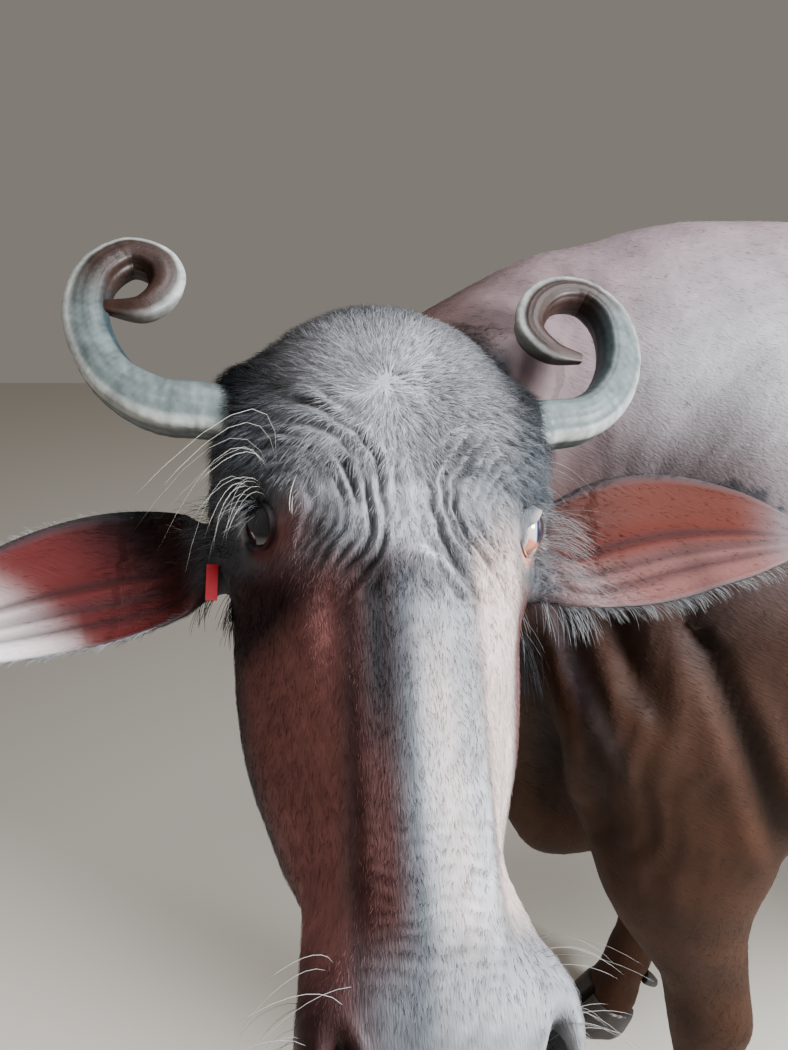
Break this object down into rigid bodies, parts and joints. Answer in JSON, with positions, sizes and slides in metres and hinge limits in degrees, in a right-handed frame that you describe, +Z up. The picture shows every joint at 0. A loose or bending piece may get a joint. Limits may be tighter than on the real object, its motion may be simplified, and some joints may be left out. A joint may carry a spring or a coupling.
{
  "type": "water buffalo model",
  "caption": "Life-size still model of a horned water buffalo cow standing on all fours with its head turned to its left.",
  "frame": {"origin": "on the floor, below the middle of the whole animal's bounding box", "axes": "+X along the trunk towards the tail, +Y towards the animal's right side, +Z up; the head is turned to its left, towards -Y"},
  "size_m": [1.9324, 0.9778, 1.3618],
  "materials": {
    "body_hide": "dark grey-brown hide with a sparse short coat",
    "head_hide": "grey-brown hide, paler on the bridge of the nose",
    "ear_hide": "pink to dark skin inside, dark hide outside, hair along the rims",
    "horn": "slate grey-green keratin, brown at the tips, faint ridges",
    "claw": "dull dark keratin",
    "eye": "wet, dark brown to black",
    "tail_hair": "coarse pale hair",
    "udder_skin": "thin greyish pink skin",
    "red_strip": "plain red strip"
  },
  "bodies": {
    "root": {"claw_foreleg_left_inner": "claw", "claw_foreleg_left_outer": "claw", "claw_foreleg_right_inner": "claw", "claw_foreleg_right_outer": "claw", "claw_hindleg_left_inner": "claw", "claw_hindleg_left_outer": "claw", "claw_hindleg_right_inner": "claw", "claw_hindleg_right_outer": "claw", "dewclaw_foreleg_left_inner": "claw", "dewclaw_foreleg_left_outer": "claw", "dewclaw_foreleg_right_inner": "claw", "dewclaw_foreleg_right_outer": "claw", "dewclaw_hindleg_left_inner": "claw", "dewclaw_hindleg_left_outer": "claw", "dewclaw_hindleg_right_inner": "claw", "dewclaw_hindleg_right_outer": "claw", "ear_left": "ear_hide", "ear_right": "ear_hide", "ear_strip_red": "red_strip", "eye_left": "eye", "eye_right": "eye", "foreleg_left_lower": "body_hide", "foreleg_left_upper": "body_hide", "foreleg_right_lower": "body_hide", "foreleg_right_upper": "body_hide", "head": "head_hide", "hindleg_left_lower": "body_hide", "hindleg_left_upper": "body_hide", "hindleg_right_lower": "body_hide", "hindleg_right_upper": "body_hide", "horn_left": "horn", "horn_right": "horn", "neck": "body_hide", "tail": "body_hide", "tail_switch": "tail_hair", "torso": "body_hide", "udder": "udder_skin"}
  },
  "joints": []
}
